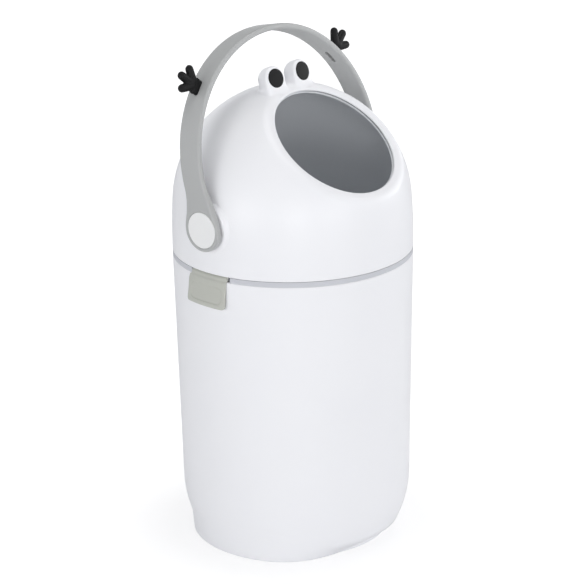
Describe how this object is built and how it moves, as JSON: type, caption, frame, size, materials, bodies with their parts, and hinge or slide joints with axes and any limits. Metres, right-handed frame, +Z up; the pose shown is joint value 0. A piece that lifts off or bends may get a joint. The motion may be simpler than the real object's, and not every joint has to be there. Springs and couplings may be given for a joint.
{
  "type": "nappy bin",
  "caption": "Upright round nappy bin with a hinged domed lid, a turning ball-shaped drum behind the front opening, and a carrying handle that turns the drum.",
  "frame": {"origin": "centre of the bin's round body at floor level", "axes": "+Z up, +X to the bin's left as it faces you from -Y, -Y the front with the mouth, so +Y is the back; the turning axis of drum and handle runs along X"},
  "size_m": [0.3, 0.28, 0.6046],
  "materials": {
    "white_shell": "smooth injection-moulded white, softly glossy",
    "grey_ring": "satin light grey moulding",
    "grey_drum": "satin mid grey moulding",
    "grey_seal": "soft matt grey seal",
    "grey_handle": "satin grey moulding",
    "white_cap": "smooth white moulding",
    "grey_tab": "satin warm grey moulding",
    "black_trim": "matt black moulding",
    "steel_pin": "plain drawn steel"
  },
  "bodies": {
    "bin": {"body_shell": "white_shell", "foot_ring": "white_shell", "bag_ring": "grey_ring", "hinge_pin": "steel_pin", "latch_pin": "steel_pin", "latch_spring": "steel_pin"},
    "lid": {"lid_shell": "white_shell", "mouth_seal": "grey_seal", "latch_keeper": "steel_pin", "left_bush": "grey_ring", "right_bush": "grey_ring", "left_eye": "black_trim", "right_eye": "black_trim"},
    "drum": {"drum_bowl": "grey_drum", "drum_mouth_ring": "grey_drum", "left_shaft": "grey_ring", "right_shaft": "grey_ring", "handle": "grey_handle", "left_hub_screw": "steel_pin", "right_hub_screw": "steel_pin", "left_hub_cap": "white_cap", "right_hub_cap": "white_cap", "left_hand": "black_trim", "right_hand": "black_trim"},
    "latch": {"latch_lever": "grey_tab"}
  },
  "joints": [
    {"name": "lid_hinge", "type": "hinge", "parent": "bin", "child": "lid", "pos_m": [0.1453, 0, 0.3466], "axis": [0, 1, 0], "range_deg": [0, 95]},
    {"name": "drum_turn", "type": "hinge", "parent": "lid", "child": "drum", "pos_m": [0, 0, 0.4025], "axis": [1, 0, 0], "range_deg": [0, 138]},
    {"name": "latch_press", "type": "hinge", "parent": "bin", "child": "latch", "pos_m": [-0.1362, 0, 0.3466], "axis": [0, 1, 0], "range_deg": [0, 15], "stiffness_Nm_per_rad": 0.1, "springref_deg": -20.05}
  ]
}
